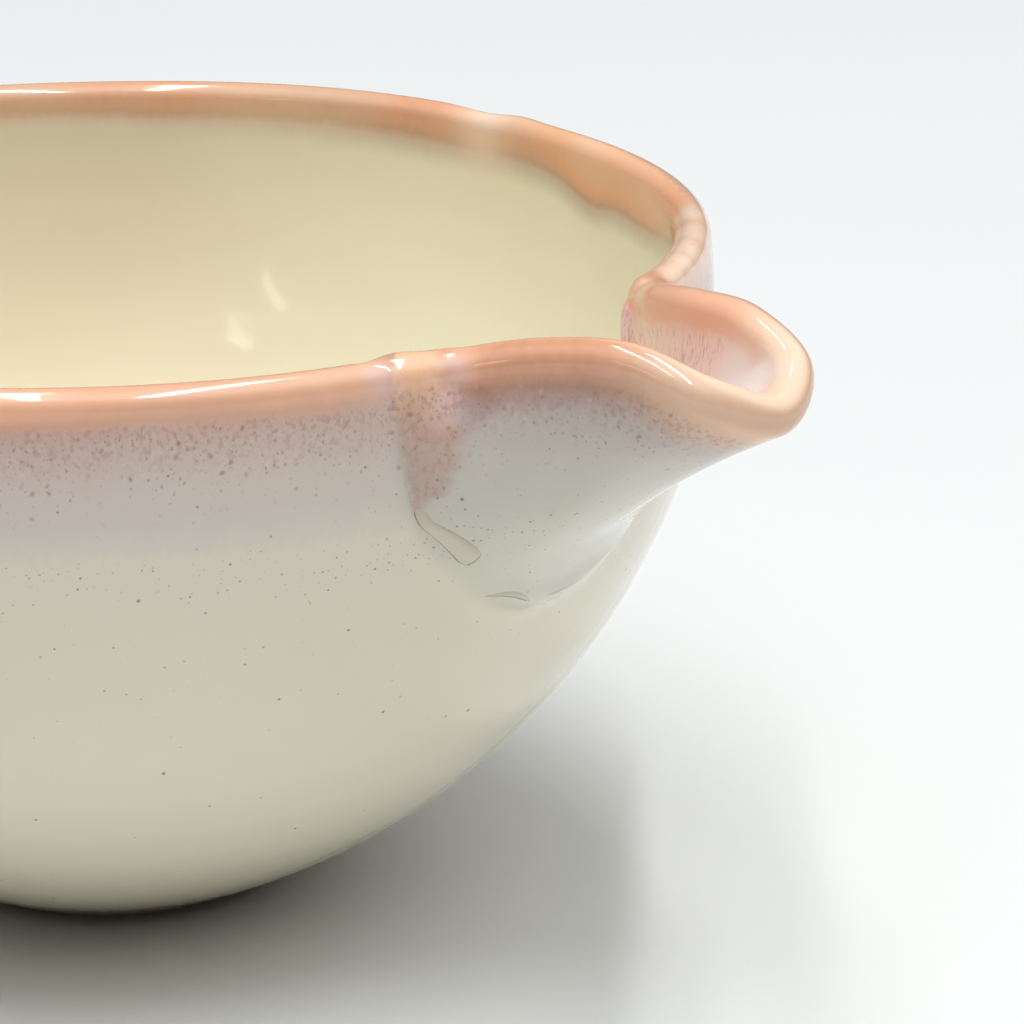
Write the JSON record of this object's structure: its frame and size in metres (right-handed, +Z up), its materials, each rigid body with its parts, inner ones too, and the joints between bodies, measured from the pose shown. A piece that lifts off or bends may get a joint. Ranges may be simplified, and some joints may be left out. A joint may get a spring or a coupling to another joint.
{
  "type": "spouted matcha bowl",
  "caption": "Deep round glazed ceramic tea bowl on a low turned foot, with an open pouring spout luted over a notch in its rounded rim, for whisking and pouring matcha.",
  "frame": {"origin": "On the table, under the middle of the part's length and width.", "axes": "+X points along the spout, +Y is across it, and +Z is up through the rim."},
  "size_m": [0.1558, 0.1282, 0.0754],
  "materials": {
    "raw_clay": "unglazed fine buff stoneware, turned",
    "outer_glaze": "glossy cream glaze, mauve and speckled under the rim, with pin holes",
    "liner_glaze": "glossy yellowish cream glaze",
    "peach_glaze": "glossy peach glaze that breaks pink and brown",
    "run_glaze": "thick glossy pooled glaze"
  },
  "bodies": {
    "root": {"bowl_wall": "raw_clay", "foot": "raw_clay", "spout": "raw_clay", "seam_coil": "outer_glaze", "outer_glaze": "outer_glaze", "liner_glaze": "liner_glaze", "rim_glaze": "peach_glaze", "spout_glaze": "peach_glaze", "glaze_run": "run_glaze"}
  },
  "joints": []
}
